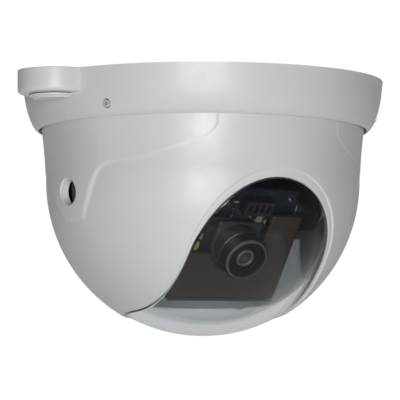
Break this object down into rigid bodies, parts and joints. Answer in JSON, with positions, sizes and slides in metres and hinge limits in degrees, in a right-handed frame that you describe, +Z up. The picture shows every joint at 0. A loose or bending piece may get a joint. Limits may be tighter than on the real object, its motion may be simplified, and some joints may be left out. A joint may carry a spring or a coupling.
{
  "type": "dome cctv camera",
  "caption": "Ceiling dome camera: turning white cover with an arched clear window in a skirt ring, over a pan and tilt lens module.",
  "frame": {"origin": "centre of the mounting face that lies on the ceiling", "axes": "+Z up into the ceiling along the pan axis, -Y the way the window and the lens look, +X to the right seen from the front, so the side cable boss is on -X"},
  "size_m": [0.1265, 0.115, 0.0811],
  "materials": {
    "housing_white": "satin moulded white",
    "bubble_clear": "clear polycarbonate with a faint grey-blue tint, polished",
    "liner_grey": "matt grey",
    "bracket_black": "fine satin black",
    "board_dark": "dark solder mask",
    "sensor_glass": "dark polished cover glass on a ceramic body",
    "screw_steel": "zinc plated",
    "brass": "turned",
    "grommet_rubber": "matt",
    "connector_nylon": "black nylon",
    "lens_black": "black anodised",
    "lens_glass": "coated optical glass"
  },
  "bodies": {
    "base": {"skirt_ring": "housing_white", "back_plate": "housing_white", "entry_plug": "housing_white", "plate_screw_1": "screw_steel", "plate_screw_2": "screw_steel", "plate_screw_3": "screw_steel", "set_screw_1": "screw_steel", "set_screw_2": "screw_steel", "set_screw_3": "screw_steel", "cable_grommet": "grommet_rubber", "pan_washer": "screw_steel", "pan_screw": "screw_steel"},
    "cover": {"dome_cover": "housing_white", "clear_bubble": "bubble_clear", "inner_liner": "liner_grey"},
    "gimbal": {"turntable": "bracket_black", "yoke": "bracket_black", "yoke_screw_1": "screw_steel", "yoke_screw_2": "screw_steel"},
    "camera": {"tilt_cradle": "bracket_black", "front_mask": "bracket_black", "sensor_board": "board_dark", "power_board": "board_dark", "image_sensor": "sensor_glass", "lens_holder": "bracket_black", "spacer_1": "brass", "spacer_2": "brass", "spacer_3": "brass", "spacer_4": "brass", "module_screw_1": "screw_steel", "module_screw_2": "screw_steel", "module_screw_3": "screw_steel", "module_screw_4": "screw_steel", "board_nut": "brass", "wire_connector": "connector_nylon", "tilt_washer_left": "screw_steel", "tilt_washer_right": "screw_steel", "tilt_screw_left": "screw_steel", "tilt_screw_right": "screw_steel"},
    "lens": {"lens_barrel": "lens_black", "lens_glass": "lens_glass", "lens_retainer": "lens_black"}
  },
  "joints": [
    {"name": "cover_pan", "type": "hinge", "parent": "base", "child": "cover", "pos_m": [0, 0, -0.014], "axis": [0, 0, 1], "continuous": true},
    {"name": "gimbal_pan", "type": "hinge", "parent": "base", "child": "gimbal", "pos_m": [0, 0, -0.0075], "axis": [0, 0, 1], "range_deg": [-177, 177]},
    {"name": "tilt", "type": "hinge", "parent": "gimbal", "child": "camera", "pos_m": [0, 0, -0.0382], "axis": [1, 0, 0], "range_deg": [-38, 52]},
    {"name": "lens_focus", "type": "hinge", "parent": "camera", "child": "lens", "pos_m": [0, -0.02364, -0.05667], "axis": [0, -0.788, -0.6157], "range_deg": [-180, 180]}
  ]
}
